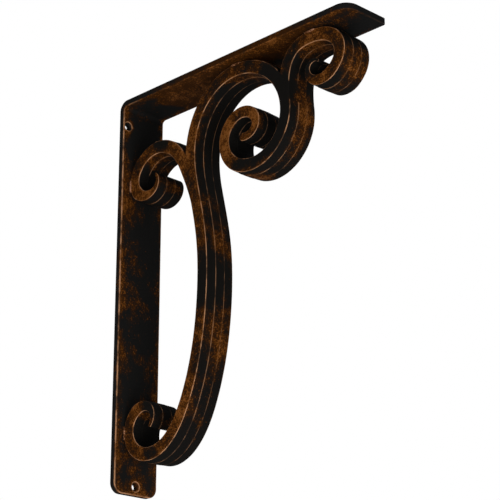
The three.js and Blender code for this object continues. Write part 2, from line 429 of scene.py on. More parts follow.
@dataclass(frozen=True, kw_only=True)
class StrapFinish(RubbedFinishWithPaintedLight):
    """The strap's share of the finish, with edge distances worked out from its flat, unbent coordinates."""

    strap: "Strap"
    mouth_narrowing: float = 2.4
    outer_fade: tuple[float, float] = (0.3 * MILLI, 0.8 * MILLI)
    inner_fade: tuple[float, float] = (0.6 * MILLI, 1.0 * MILLI)
    arm_from: float = 0.52
    arm_to: float = 0.62
    arm_line: float = 0.05

    def flat_place(self, graph: NodeGraph) -> bpy.types.NodeSocket:
        """The place on the flat plate: along, across and height above the outer face."""
        return graph.attribute("flat_place").outputs["Vector"]

    def _from_outline(self, graph: NodeGraph, along: bpy.types.NodeSocket,
                      across: bpy.types.NodeSocket) -> bpy.types.NodeSocket:
        """Works out how far inside the plate's rounded outline a point lies.

        Args:
            graph: The material's graph.
            along: The distance along the plate.
            across: The distance across it.

        Returns:
            The distance in metres.
        """
        strap = self.strap
        to_side = graph.math("SUBTRACT", strap.sizes.strap_width / 2, graph.math("ABSOLUTE", across))
        to_end = graph.math("MINIMUM", along, graph.math("SUBTRACT", strap.length, along))
        on_arm = graph.math("GREATER_THAN", along, strap.length / 2)
        is_far = graph.math("GREATER_THAN", across, 0.0)
        corner_step = strap.far_corner - strap.near_corner
        arm_corner = graph.math("MULTIPLY_ADD", is_far, corner_step, strap.near_corner)
        step = graph.math("SUBTRACT", arm_corner, strap.foot_corner)
        corner = graph.math("MULTIPLY_ADD", on_arm, step, strap.foot_corner)
        in_side = graph.math("SUBTRACT", corner, to_side)
        in_end = graph.math("SUBTRACT", corner, to_end)
        both = graph.add("ShaderNodeCombineXYZ")
        graph.feed(both.inputs[0], graph.math("MAXIMUM", in_side, 0.0))
        graph.feed(both.inputs[1], graph.math("MAXIMUM", in_end, 0.0))
        rounded = graph.vector("LENGTH", both.outputs[0])
        inner = graph.math("MINIMUM", graph.math("MAXIMUM", in_side, in_end), 0.0)
        return graph.math("SUBTRACT", corner, graph.math("ADD", rounded, inner))

    def edge_distance(self, graph: NodeGraph) -> bpy.types.NodeSocket:
        """Works out the distance to the inner face's edge or to a hole's mouth.

        Args:
            graph: The material's graph.

        Returns:
            The distance in metres.
        """
        flat = self.flat_place(graph)
        along, across, height = graph.split(flat)
        distance = self._from_outline(graph, along, across)
        level = graph.vector("MULTIPLY", flat, (1.0, 1.0, 0.0))
        for place in self.strap.holes:
            from_centre = graph.vector("DISTANCE", level, (*place, 0.0))
            from_mouth = graph.math("SUBTRACT", from_centre, self.strap.mouth_radius)
            narrowed = graph.math("MULTIPLY", from_mouth, self.mouth_narrowing)
            distance = graph.math("MINIMUM", distance, narrowed)
        below = graph.math("SUBTRACT", self.strap.sizes.strap_thickness, height)
        return graph.math("MAXIMUM", graph.math("ABSOLUTE", distance), below)

    def side_share(self, graph: NodeGraph) -> bpy.types.NodeSocket:
        """Tells the strap's edge faces from its broad faces.

        Args:
            graph: The material's graph.

        Returns:
            1 on the edge faces and 0 on the broad faces.
        """
        height = graph.split(self.flat_place(graph))[2]
        start, end = (self.strap.sizes.strap_thickness - fade for fade in self.inner_fade)
        inner = graph.ramp(height, start, end)
        return graph.math("MULTIPLY", inner, graph.ramp(height, *self.outer_fade))

    def line_share(self, graph: NodeGraph) -> bpy.types.NodeSocket:
        """Makes the lines fainter along the arm than along the wall leg.

        Args:
            graph: The material's graph.

        Returns:
            The lines' strength at each point.
        """
        along = graph.split(self.flat_place(graph))[0]
        start, end = self.strap.length * self.arm_from, self.strap.length * self.arm_to
        return graph.ramp(along, start, end, (1.0, self.arm_line))


@dataclass(frozen=True)
class BarSection:
    """Section of the scroll bar: rounded edges, and on the wide faces a raised middle third."""

    width: float
    thickness: float
    slope_drop: float = 0.6 * MILLI
    ridge_step: float = 0.2 * MILLI
    ridge_run: float = 0.35 * MILLI
    edge_radius: float = 0.7 * MILLI
    edge_pieces: int = 4
    support: tuple[float, ...] = (0.3 * MILLI, 0.8 * MILLI, 1.7 * MILLI, 3.4 * MILLI)
    support_share: float = 0.42

    def _keys(self) -> list[tuple[float, float, bool]]:
        """Works out the upper half's corner points.

        Returns:
            Rows of across, out and whether the point is the top of an edge or ridge.
        """
        half, out, third = self.width / 2, self.thickness / 2, self.width / 6
        radius, shoulder = self.edge_radius, self.thickness / 2 - self.slope_drop
        arc = []
        for k in range(self.edge_pieces + 1):
            turn = math.radians(90 * k / self.edge_pieces)
            across = half - radius + radius * math.cos(turn)
            level = shoulder - radius + radius * math.sin(turn)
            arc.append((across, level, 2 * k == self.edge_pieces))
        slope = [*arc, (third + self.ridge_run, out - self.ridge_step, False), (third, out, True)]
        return slope + [(-across, level, crest) for across, level, crest in reversed(slope)]

    def rows(self) -> list[tuple[float, float, float]]:
        """Works out the closed outline.

        Returns:
            Rows of across, out and distance to the nearest edge or ridge.
        """
        keys = self._keys()
        keys += [(-across, -level, crest) for across, level, crest in keys]
        points: list[tuple[Vector, bool]] = []
        for (across, level, crest), after in zip(keys, keys[1:] + keys[:1]):
            start, end = Vector((across, level)), Vector(after[:2])
            length = (end - start).length
            near = [d for d in self.support if d < length * self.support_share]
            stops = [*near, *([length / 2] if near else []), *[length - d for d in reversed(near)]]
            points.append((start, crest))
            points += [(start.lerp(end, stop / length), False) for stop in stops]
        steps = [(b[0] - a[0]).length for a, b in zip(points, points[1:] + points[:1])]
        around = np.concatenate([[0], np.cumsum(steps)])
        crests = np.array([around[k] for k, point in enumerate(points) if point[1]])
        rows = []
        for (point, _), at in zip(points, around):
            gap = np.abs(crests - at)
            rows.append((point.x, point.y, float(np.minimum(gap, around[-1] - gap).min())))
        return rows


@dataclass(frozen=True)
class Tip:
    """A worked end of a scroll: its thickness, the length over which it is drawn out and its rounding.

    The two roundings take off just under twice the corner, so that a narrow flat stays at the very end.
    """

    thickness: float
    length: float
    corner: float
    taken_off: float = 1.96

    def thickness_at(self, distance: float, full: float) -> float:
        """Thickness at a distance from the end.

        Args:
            distance: How far along the bar from the end, in metres.
            full: The bar's full thickness.

        Returns:
            The thickness there.
        """
        drawn = min(full, self.thickness + (full - self.thickness) * distance / self.length)
        into = max(0.0, self.corner - distance)
        return drawn - self.taken_off * (self.corner - math.sqrt(self.corner ** 2 - into ** 2))


@dataclass(frozen=True)
class ScrollForm:
    """A scroll drawn as a bar bent steadily from one radius to the next, in millimetres and degrees.

    A bend's row holds the distance along the bar and the radius there, positive to the left.
    """

    heading: float
    bends: tuple[tuple[float, float], ...]
    first_tip: Tip | None
    last_tip: Tip | None
    stride: float = 0.5

    def drawn(self) -> np.ndarray:
        """Draws the line from (0, 0) along the heading.

        Returns:
            The line's points as rows of x and z, in metres.
        """
        points = [(0.0, 0.0)]
        heading, x, z = math.radians(self.heading), 0.0, 0.0
        for (start, start_radius), (end, end_radius) in zip(self.bends, self.bends[1:]):
            pieces = math.ceil((end - start) / self.stride)
            step = (end - start) / pieces
            for k in range(pieces):
                share = (k + 0.5) / pieces
                bend = (1 - share) / start_radius + share / end_radius
                heading += bend * step
                x += math.cos(heading - bend * step / 2) * step
                z += math.sin(heading - bend * step / 2) * step
                points.append((x, z))
        return np.array(points) * MILLI


MAIN_FORM = ScrollForm(
    heading=51.8,
    bends=((0, 24.3), (12.1, 10.3), (34.4, 18.7), (84.4, 27.2), (130.7, 53.2), (170.7, 192), (215.8, 272),
           (269.4, 410), (320.1, 222), (368.6, -12000), (413.9, -79.4), (479.3, -55.6), (534.6, -70.1),
           (575.6, -59.3), (618.9, -41), (678.5, -43.5), (730.8, -24.1), (771.2, -21), (787.2, -9.5),
           (811.2, -27)),
    first_tip=Tip(3.0 * MILLI, 40 * MILLI, 1.0 * MILLI),
    last_tip=Tip(7.9 * MILLI, 62.6 * MILLI, 3.0 * MILLI),
)
WALL_FORM = ScrollForm(
    heading=106.3,
    bends=((0, 129.8), (35.4, 1796), (68.9, 38.6), (126.7, 29.6), (145.4, 17.3), (168.2, 18.9), (197, 8.6)),
    first_tip=None,
    last_tip=Tip(2.0 * MILLI, 45 * MILLI, 0.9 * MILLI),
)
ARM_FORM = ScrollForm(
    heading=94.6,
    bends=((0, 345.6), (35.6, -47.8), (59, -22.5), (78.7, -74.8), (102.1, -32.5), (122.4, -17.6),
           (145.2, -28), (175.2, -14.6), (186.5, -8.5), (202.5, -6.6)),
    first_tip=None,
    last_tip=Tip(2.0 * MILLI, 51.9 * MILLI, 0.8 * MILLI),
)


def carrier(name: str, points: Sequence[Sequence[float]], closed: bool = False) -> bpy.types.Object:
    """Makes an object whose mesh is one chain of edges.

    Args:
        name: The object's name.
        points: The chain's points.
        closed: Whether the last point is joined to the first.

    Returns:
        The object, linked to the scene.
    """
    count = len(points)
    edges = [(k, (k + 1) % count) for k in range(count if closed else count - 1)]
    mesh = bpy.data.meshes.new(name)
    mesh.from_pydata([tuple(p) for p in points], edges, [])
    made = bpy.data.objects.new(name, mesh)
    bpy.context.scene.collection.objects.link(made)
    return made


def set_numbers(target: bpy.types.Object, name: str, values: Sequence[float]) -> None:
    """Stores one number for each vertex.

    Args:
        target: The object.
        name: The attribute's name.
        values: The numbers, in the order of the vertices.
    """
    layer = target.data.attributes.get(name) or target.data.attributes.new(name, "FLOAT", "POINT")
    layer.data.foreach_set("value", np.asarray(values, np.float32))


def flattened(target: bpy.types.Object) -> bpy.types.Object:
    """Turns an object's evaluated shape into its own plain mesh and takes its modifiers off.

    Args:
        target: The object.

    Returns:
        The same object.
    """
    bpy.context.view_layer.update()
    seen = target.evaluated_get(bpy.context.evaluated_depsgraph_get())
    mesh = bpy.data.meshes.new_from_object(seen, preserve_all_data_layers=True,
                                           depsgraph=bpy.context.evaluated_depsgraph_get())
    old = target.data
    target.modifiers.clear()
    target.data = mesh
    mesh.name = target.name
    bpy.data.meshes.remove(old)
    return target


def smooth(value: np.ndarray, low: float, high: float) -> np.ndarray:
    """Makes a smooth step.

    Args:
        value: The numbers that are mapped.
        low: Where the step starts from 0.
        high: Where it reaches 1.

    Returns:
        The mapped numbers.
    """
    share = np.clip((value - low) / (high - low), 0, 1)
    return share * share * (3 - 2 * share)


def faces_outward(target: bpy.types.Object) -> None:
    """Merges doubles of a closed mesh and points its faces outward.

    Args:
        target: The object.
    """
    work = bmesh.new()
    work.from_mesh(target.data)
    bmesh.ops.remove_doubles(work, verts=work.verts, dist=SAME_PLACE)
    bmesh.ops.recalc_face_normals(work, faces=work.faces)
    work.to_mesh(target.data)
    work.free()


def weighted(target: bpy.types.Object) -> None:
    """Smooths the shading so that broad flat faces stay flat.

    Args:
        target: The object, whose mesh is final.
    """
    target.data.shade_smooth()
    modifier = target.modifiers.new("weighted", "WEIGHTED_NORMAL")
    modifier.weight = FLAT_FACE_WEIGHT
    modifier.keep_sharp = False
    flattened(target)


def removed(*targets: bpy.types.Object) -> None:
    """Deletes helper objects with their meshes.

    Args:
        *targets: The objects.
    """
    for target in targets:
        mesh = target.data
        bpy.data.objects.remove(target)
        bpy.data.meshes.remove(mesh)


class SweepTree:
    """Geometry Nodes tree that sweeps a section along a line, thinned by the line's share of thickness."""

    INPUTS = (
        ("Section", "NodeSocketObject"), ("Unevenness", "NodeSocketFloat"),
        ("Uneven Size", "NodeSocketFloat"), ("Widening", "NodeSocketFloat"),
        ("Seed", "NodeSocketFloat"), ("Finish", "NodeSocketMaterial"),
    )

    def __init__(self) -> None:
        """Builds the tree."""
        self.tree = bpy.data.node_groups.new("bar_along_line", "GeometryNodeTree")
        face = self.tree.interface
        face.new_socket(name="Line", in_out="INPUT", socket_type="NodeSocketGeometry")
        self.names = {}
        for name, kind in self.INPUTS:
            self.names[name] = face.new_socket(name=name, in_out="INPUT", socket_type=kind).identifier
        face.new_socket(name="Bar", in_out="OUTPUT", socket_type="NodeSocketGeometry")
        self._wire(NodeGraph(self.tree))

    def _named(self, graph: NodeGraph, name: str, kind: str = "FLOAT") -> bpy.types.NodeSocket:
        """Reads a named attribute.

        Args:
            graph: The tree's graph.
            name: The attribute's name.
            kind: Its data type.

        Returns:
            The attribute's value.
        """
        node = graph.add("GeometryNodeInputNamedAttribute", data_type=kind)
        node.inputs["Name"].default_value = name
        return next(o for o in node.outputs if o.enabled and o.name == "Attribute")

    def _store(self, graph: NodeGraph, geometry: bpy.types.NodeSocket, name: str, kind: str,
               value: object) -> bpy.types.NodeSocket:
        """Stores a value on the points under a name.

        Args:
            graph: The tree's graph.
            geometry: The geometry that gets the attribute.
            name: The attribute's name.
            kind: Its data type.
            value: The value's socket.

        Returns:
            The geometry that carries it.
        """
        node = graph.add("GeometryNodeStoreNamedAttribute", data_type=kind, domain="POINT")
        graph.feed(node.inputs["Geometry"], geometry)
        node.inputs["Name"].default_value = name
        graph.feed(next(i for i in node.inputs if i.enabled and i.name == "Value"), value)
        return node.outputs[0]

    def _wire(self, graph: NodeGraph) -> None:
        """Adds the nodes.

        Args:
            graph: The tree's graph.
        """
        given = graph.add("NodeGroupInput").outputs
        line = graph.add("GeometryNodeMeshToCurve")
        graph.feed(line.inputs[0], given["Line"])
        rail = self._store(graph, line.outputs[0], "rail_at", "FLOAT_VECTOR",
                           graph.add("GeometryNodeInputPosition").outputs[0])
        tangent = graph.add("GeometryNodeInputTangent").outputs[0]
        out = graph.vector("CROSS_PRODUCT", tangent, (0.0, 1.0, 0.0))
        rail = self._store(graph, rail, "rail_out", "FLOAT_VECTOR", out)
        section = graph.add("GeometryNodeObjectInfo")
        graph.feed(section.inputs["Object"], given["Section"])
        outline = graph.add("GeometryNodeMeshToCurve")
        graph.feed(outline.inputs[0], section.outputs["Geometry"])
        sweep = graph.add("GeometryNodeCurveToMesh")
        graph.feed(sweep.inputs["Curve"], rail)
        graph.feed(sweep.inputs["Profile Curve"], outline.outputs[0])
        sweep.inputs["Fill Caps"].default_value = True
        share = graph.math("MULTIPLY", self._named(graph, "section_out"), self._named(graph, "share"))
        lift = graph.vector("SCALE", self._named(graph, "rail_out", "FLOAT_VECTOR"))
        graph.feed(lift.node.inputs["Scale"], share)
        across = graph.add("ShaderNodeCombineXYZ")
        widened = graph.math("MULTIPLY", self._named(graph, "section_across"), given["Widening"])
        graph.feed(across.inputs["Y"], widened)
        lifted = graph.vector("ADD", self._named(graph, "rail_at", "FLOAT_VECTOR"), lift)
        place = graph.vector("ADD", lifted, across.outputs[0])
        ripple = graph.add("ShaderNodeTexNoise", noise_dimensions="4D")
        graph.feed(ripple.inputs["Vector"], place)
        graph.feed(ripple.inputs["W"], given["Seed"])
        graph.feed(ripple.inputs["Scale"], graph.math("DIVIDE", 1.0, given["Uneven Size"]))
        swing = graph.math("MULTIPLY", graph.math("SUBTRACT", ripple.outputs[0], 0.5), given["Unevenness"])
        push = graph.vector("SCALE", graph.add("GeometryNodeInputNormal").outputs[0])
        graph.feed(push.node.inputs["Scale"], swing)
        first = graph.add("GeometryNodeSetPosition")
        graph.feed(first.inputs["Geometry"], sweep.outputs[0])
        graph.feed(first.inputs["Position"], place)
        second = graph.add("GeometryNodeSetPosition")
        graph.feed(second.inputs["Geometry"], first.outputs[0])
        graph.feed(second.inputs["Offset"], push)
        real = graph.add("GeometryNodeRealizeInstances")
        graph.feed(real.inputs[0], second.outputs[0])
        coat = graph.add("GeometryNodeSetMaterial")
        graph.feed(coat.inputs["Geometry"], real.outputs[0])
        graph.feed(coat.inputs["Material"], given["Finish"])
        graph.feed(graph.add("NodeGroupOutput").inputs[0], coat.outputs[0])

    def sweep(self, line: bpy.types.Object, values: dict[str, object]) -> bpy.types.Object:
        """Sweeps a line object into a plain mesh.

        Args:
            line: The object that carries the line and its share of thickness.
            values: The tree's inputs by name.

        Returns:
            The same object, now the swept bar.
        """
        modifier = line.modifiers.new("sweep", "NODES")
        modifier.node_group = self.tree
        for name, value in values.items():
            modifier[self.names[name]] = value
        flattened(line)
        faces_outward(line)
        return line


@dataclass(frozen=True)
class BracketSizes:
    """The bracket's driving sizes, in metres, as the CAD nodes have them."""

    reach: float = 301.6 * MILLI
    height: float = 387.4 * MILLI
    strap_width: float = 50.8 * MILLI
    strap_thickness: float = 6.35 * MILLI
    bend_inside: float = 3.8 * MILLI
    bar_width: float = 32.6 * MILLI
    bar_thickness: float = 13.9 * MILLI
    wall_root_height: float = 260.2 * MILLI

    @property
    def foot(self) -> float:
        """Height of the wall leg's foot."""
        return -self.height / 2

    @property
    def under_arm(self) -> float:
        """Height of the arm's underside."""
        return self.height / 2 - self.strap_thickness


@dataclass
class ScrollBar:
    """One scrolled bar, swept along its line by Geometry Nodes, with light and shade painted into its colour.

    Hollow, tight and cupped are ranges of a face's inward curl, as one over its radius in metres.
    """

    name: str
    node: str
    form: ScrollForm
    sizes: BracketSizes
    section: BarSection
    station: float = 1.2 * MILLI
    unevenness: float = 0.22 * MILLI
    uneven_size: float = 11 * MILLI
    seed: float = 3.0
    # Strengths of the light and shade painted into the colour: light on cupped undersides, shade on other
    # undersides, upper faces, hollows, faces turned to +X and the far side.
    painted_under_light: float = 0.16
    painted_belly_shade: float = 0.24
    painted_upper_shade: float = 0.22
    painted_hollow_shade: float = 0.55
    painted_front_shade: float = 0.06
    painted_far_shade: float = 0.12
    hollow: tuple[float, float] = (16, 40)
    tight: tuple[float, float] = (66, 100)
    cupped: tuple[float, float] = (1, 9)
    hollow_under_share: float = 0.85
    facing_under: tuple[float, float] = (0.3, 0.9)
    facing_front: tuple[float, float] = (0.5, 0.95)
    facing_upper: tuple[float, float] = (0.2, 0.8)
    far_fade: tuple[float, float] = (3 * MILLI, 14 * MILLI)
    wide_face_fade: tuple[float, float] = (0.7 * MILLI, 0.1 * MILLI)
    least_stride: float = 0.02 * MILLI
    tip_degrees: tuple[int, int, int] = (5, 90, 10)
    joint_fade: float = 2.6 * MILLI
    joint_fade_share: float = 1.5
    joint_gap: float = 4 * MILLI

    def placed(self, root: tuple[float, float] | None, outward: bool) -> np.ndarray:
        """Stretches the drawn line so that the bar fills its CAD node's box.

        Args:
            root: Where the line starts in x and z, or None for a line that is placed by the box alone.
            outward: Whether the line's far side in x is the one that the box fixes.

        Returns:
            The line's points as rows of x and z, in metres.
        """
        low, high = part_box(self.node)
        half = self.sizes.bar_thickness / 2
        line = self.form.drawn()
        x, z = line[:, 0], line[:, 1]
        if root is None:
            x = low.x + half + (x - x.min()) * (high.x - low.x - 2 * half) / (x.max() - x.min())
            z = low.z + half + (z - z.min()) * (high.z - low.z - 2 * half) / (z.max() - z.min())
            return np.stack([x, z], 1)
        side = high.x - half if outward else low.x + half
        reached = x.max() if outward else x.min()
        x = root[0] + x * (side - root[0]) / reached
        z = root[1] + z * (high.z - half - root[1]) / z.max()
        return np.stack([x, z], 1)

    def _stations(self, length: float) -> np.ndarray:
        """Distances along the line at which the section stands, closer together on the rounded tips.

        Args:
            length: The line's length.

        Returns:
            The distances, rising.
        """
        count = round(length / self.station)
        at = [np.linspace(0, length, count + 1)]
        turn = np.cos(np.radians(np.arange(*self.tip_degrees)))
        if self.form.first_tip:
            at.append(self.form.first_tip.corner * (1 - turn))
        if self.form.last_tip:
            at.append(length - self.form.last_tip.corner * (1 - turn))
        every = np.unique(np.round(np.concatenate(at), 7))
        return every[np.concatenate([[True], np.diff(every) > self.least_stride])]

    def _share(self, distance: float, length: float) -> float:
        """Works out how much of its full thickness the bar has at a place.

        Args:
            distance: The distance along the line.
            length: The line's length.

        Returns:
            The share, from 0 to 1.
        """
        full = self.sizes.bar_thickness
        thick = full
        if self.form.first_tip:
            thick = min(thick, self.form.first_tip.thickness_at(distance, full))
        if self.form.last_tip:
            thick = min(thick, self.form.last_tip.thickness_at(length - distance, full))
        return thick / full

    def build(self, line: np.ndarray, tree: SweepTree, finish: bpy.types.Material,
              widening: float = 1.0, name: str = "") -> bpy.types.Object:
        """Sweeps the bar.

        Args:
            line: The placed line.
            tree: The tree that sweeps.
            finish: The bar's material.
            widening: Factor on the section's width.
            name: Another name for the object, or nothing.

        Returns:
            The bar as a plain mesh.
        """
        along = np.concatenate([[0], np.cumsum(np.hypot(*np.diff(line, axis=0).T))])
        at = self._stations(along[-1])
        x, z = np.interp(at, along, line[:, 0]), np.interp(at, along, line[:, 1])
        made = carrier(name or self.name, [(a, 0.0, b) for a, b in zip(x, z)])
        set_numbers(made, "share", [self._share(distance, along[-1]) for distance in at])
        heading = np.unwrap(np.arctan2(np.gradient(z, at), np.gradient(x, at)))
        set_numbers(made, "turn", np.gradient(heading, at))
        outline = self.section.rows()
        section = carrier("section", [(a, o, 0.0) for a, o, _ in outline], closed=True)
        set_numbers(section, "section_across", [a for a, _, _ in outline])
        set_numbers(section, "section_out", [o for _, o, _ in outline])
        set_numbers(section, "edge_gap", [gap for _, _, gap in outline])
        tree.sweep(made, {
            "Section": section, "Unevenness": self.unevenness, "Uneven Size": self.uneven_size,
            "Widening": widening, "Seed": self.seed, "Finish": finish,
        })
        removed(section)
        self._paint_light_and_shade(made)
        return made

    def _paint_light_and_shade(self, bar: bpy.types.Object) -> None:
        """Paints light and shade into each place by its face's direction and its curl: lighter on cupped
        undersides, darker on other undersides, in hollows, on faces turned up or to +X, and towards the far
        side.

        Args:
            bar: The swept bar, whose sweep attributes are used up here.
        """
        count = len(bar.data.vertices)
        numbers = {}
        for name in ("section_out", "turn"):
            numbers[name] = np.zeros(count, np.float32)
            bar.data.attributes[name].data.foreach_get("value", numbers[name])
        out = np.zeros(count * 3, np.float32)
        bar.data.attributes["rail_out"].data.foreach_get("vector", out)
        place = np.zeros(count * 3, np.float32)
        bar.data.vertices.foreach_get("co", place)
        across = place.reshape(-1, 3)[:, 1]
        outward = np.sign(numbers["section_out"])
        cupping = numbers["turn"] * outward
        start, end = (self.sizes.bar_width / 2 - fade for fade in self.wide_face_fade)
        wide = 1 - smooth(np.abs(across), start, end)
        hollow = smooth(cupping, *self.hollow)
        tight = smooth(cupping, *self.tight)
        cupped = smooth(cupping, *self.cupped)
        facing = out.reshape(-1, 3) * outward[:, None]
        under = smooth(-facing[:, 2], *self.facing_under)
        front = smooth(facing[:, 0], *self.facing_front)
        far = smooth(across, *self.far_fade)
        upper = smooth(facing[:, 2], *self.facing_upper)
        # Painted light under cupped faces; painted shade under bellies, in hollows, on upper faces, on faces
        # turned to +X and towards the far side, on the wide faces only.
        rub = under * (self.painted_under_light * cupped - self.painted_belly_shade * (1 - cupped))
        rub -= self.painted_hollow_shade * hollow * (1 - self.hollow_under_share * under * (1 - tight))
        rub = wide * (rub - self.painted_front_shade * front - self.painted_far_shade * far - self.painted_upper_shade * upper)
        set_numbers(bar, "rub", rub)
        for name in ("rail_at", "rail_out", "section_across", "section_out", "share", "turn"):
            bar.data.attributes.remove(bar.data.attributes[name])

    def trim(self, bar: bpy.types.Object, cutter: bpy.types.Object) -> None:
        """Cuts away what lies in another bar, so that the two meet face to face.

        Args:
            bar: The bar that is cut, which keeps its largest piece.
            cutter: The other bar's slightly widened double.
        """
        modifier = bar.modifiers.new("joint", "BOOLEAN")
        modifier.operation = "DIFFERENCE"
        modifier.solver = "EXACT"
        modifier.object = cutter
        flattened(bar)
        work = bmesh.new()
        work.from_mesh(bar.data)
        pieces, left = [], set(work.verts)
        while left:
            piece, edge_of_piece = set(), [left.pop()]
            while edge_of_piece:
                vertex = edge_of_piece.pop()
                piece.add(vertex)
                for edge in vertex.link_edges:
                    other = edge.other_vert(vertex)
                    if other in left:
                        left.remove(other)
                        edge_of_piece.append(other)
            pieces.append(piece)
        pieces.sort(key=len)
        for piece in pieces[:-1]:
            bmesh.ops.delete(work, geom=list(piece), context="VERTS")
        work.to_mesh(bar.data)
        work.free()

    def fade_edges(self, bar: bpy.types.Object, partner: bpy.types.Object, spread: float) -> None:
        """Takes the edge line off where the bar runs into its partner.

        Args:
            bar: The bar whose edge distances are changed.
            partner: The bar that it runs into.
            spread: How far from the partner the line comes back.
        """
        corners = [vertex.co for vertex in partner.data.vertices]
        tree = BVHTree.FromPolygons(corners, [face.vertices for face in partner.data.polygons])
        layer = bar.data.attributes["edge_gap"].data
        for vertex in bar.data.vertices:
            _, _, _, distance = tree.find_nearest(vertex.co, spread * 2)
            if distance is not None and distance <= spread * self.joint_fade_share:
                share = min(1.0, self.joint_fade_share - distance / spread)
                value = layer[vertex.index].value
                layer[vertex.index].value = max(value, share * self.joint_gap)


@dataclass
class Strap:
    """The bent strap: a flat plate with rounded corners and countersunk holes, bent to an L."""

    sizes: BracketSizes
    foot_corner: float = 9.5 * MILLI
    near_corner: float = 13 * MILLI
    far_corner: float = 2 * MILLI
    edge_round: float = 0.6 * MILLI
    hole_radius: float = 3.1 * MILLI
    mouth_radius: float = 4.8 * MILLI
    pair_side: float = 19.6 * MILLI
    near_below_top: float = 25.4 * MILLI
    far_below_top: float = 34.9 * MILLI
    foot_rise: float = 8.1 * MILLI
    bend_pieces: int = 14
    edge_pieces: int = 4
    corner_pieces: int = 14
    hole_pieces: int = 64
    drill_spare: float = 1 * MILLI

    @property
    def leg_length(self) -> float:
        """Length of the wall leg up to the bend."""
        return self.sizes.under_arm - self.sizes.bend_inside - self.sizes.foot

    @property
    def bend_length(self) -> float:
        """Length of the bend along the strap's middle."""
        return (self.sizes.bend_inside + self.sizes.strap_thickness / 2) * math.pi / 2

    @property
    def length(self) -> float:
        """Length of the flat plate."""
        arm_length = self.sizes.reach - self.sizes.bend_inside - self.sizes.strap_thickness
        return self.leg_length + self.bend_length + arm_length

    @property
    def holes(self) -> tuple[tuple[float, float], ...]:
        """The holes' places.

        Returns:
            For each hole its centre along and across the flat plate.
        """
        return (
            (self.sizes.height - self.near_below_top, -self.pair_side),
            (self.sizes.height - self.far_below_top, self.pair_side),
            (self.foot_rise, 0.0),
        )

    def _ring(self, inset: float) -> list[tuple[float, float]]:
        """The plate's outline, moved in.

        Args:
            inset: How far it is moved in.

        Returns:
            Points along and across, counter-clockwise.
        """
        half, length = self.sizes.strap_width / 2, self.length
        corners = (
            (0.0, -half, self.foot_corner, 180), (length, -half, self.near_corner, 270),
            (length, half, self.far_corner, 0), (0.0, half, self.foot_corner, 90),
        )
        ring = []
        for along, across, radius, start in corners:
            centre_along = along + math.copysign(radius, length / 2 - along)
            centre_across = across - math.copysign(radius, across)
            reach = radius - inset
            for k in range(self.corner_pieces + 1):
                turn = math.radians(start + 90 * k / self.corner_pieces)
                ring.append((centre_along + reach * math.cos(turn), centre_across + reach * math.sin(turn)))
        return ring

    def _plate(self) -> bpy.types.Object:
        """Makes the flat plate with rounded edges.

        Returns:
            The plate, with along, across and height as x, y and z.
        """
        thick, radius = self.sizes.strap_thickness, self.edge_round
        turns = [math.radians(90 * k / self.edge_pieces) for k in range(self.edge_pieces + 1)]
        stack = [(radius - radius * math.sin(t), radius - radius * math.cos(t)) for t in turns]
        rings = [(h, inset) for inset, h in stack] + [(thick - h, inset) for inset, h in reversed(stack)]
        vertices, faces = [], []
        for height, inset in rings:
            vertices += [(a, b, height) for a, b in self._ring(inset)]
        count = len(vertices) // len(rings)
        for level in range(len(rings) - 1):
            for k in range(count):
                after = (k + 1) % count
                low, high = level * count, (level + 1) * count
                faces.append((low + k, low + after, high + after, high + k))
        faces.append(tuple(reversed(range(count))))
        faces.append(tuple(range(len(vertices) - count, len(vertices))))
        mesh = bpy.data.meshes.new("plate")
        mesh.from_pydata(vertices, [], faces)
        plate = bpy.data.objects.new("wall_and_arm_bar", mesh)
        bpy.context.scene.collection.objects.link(plate)
        faces_outward(plate)
        return plate

    def _drill(self, plate: bpy.types.Object) -> None:
        """Cuts the countersunk holes.

        Args:
            plate: The flat plate.
        """
        thick, spare = self.sizes.strap_thickness, self.drill_spare
        depth = self.mouth_radius - self.hole_radius
        profile = ((self.hole_radius, -spare), (self.hole_radius, thick - depth),
                   (self.mouth_radius, thick), (self.mouth_radius, thick + spare))
        for along, across in self.holes:
            work = bmesh.new()
            rings = []
            for radius, height in profile:
                ring = []
                for turn in np.linspace(0, 2 * math.pi, self.hole_pieces, endpoint=False):
                    place = (along + radius * math.cos(turn), across + radius * math.sin(turn), height)
                    ring.append(work.verts.new(place))
                rings.append(ring)
            for low, high in zip(rings, rings[1:]):
                for k in range(self.hole_pieces):
                    after = (k + 1) % self.hole_pieces
                    work.faces.new((low[k], low[after], high[after], high[k]))
            work.faces.new(list(reversed(rings[0])))
            work.faces.new(rings[-1])
            bmesh.ops.recalc_face_normals(work, faces=work.faces)
            mesh = bpy.data.meshes.new("drill")
            work.to_mesh(mesh)
            work.free()
            drill = bpy.data.objects.new("drill", mesh)
            bpy.context.scene.collection.objects.link(drill)
            modifier = plate.modifiers.new("hole", "BOOLEAN")
            modifier.operation = "DIFFERENCE"
            modifier.solver = "EXACT"
            modifier.object = drill
            flattened(plate)
            removed(drill)

    def _bent(self, at: Vector) -> Vector:
        """Maps a point of the flat plate onto the bent strap.

        Args:
            at: Distance along, across and height above the outer face.

        Returns:
            The point in the bracket's frame.
        """
        sizes = self.sizes
        thick, inside = sizes.strap_thickness, sizes.bend_inside
        along, across, height = at
        if along <= self.leg_length:
            return Vector((height, across, sizes.foot + along))
        if along >= self.leg_length + self.bend_length:
            beyond = along - self.leg_length - self.bend_length
            return Vector((thick + inside + beyond, across, sizes.height / 2 - height))
        turn = (along - self.leg_length) / self.bend_length * math.pi / 2
        radius = inside + thick - height
        centre = (thick + inside, sizes.under_arm - inside)
        return Vector((centre[0] - radius * math.cos(turn), across, centre[1] + radius * math.sin(turn)))

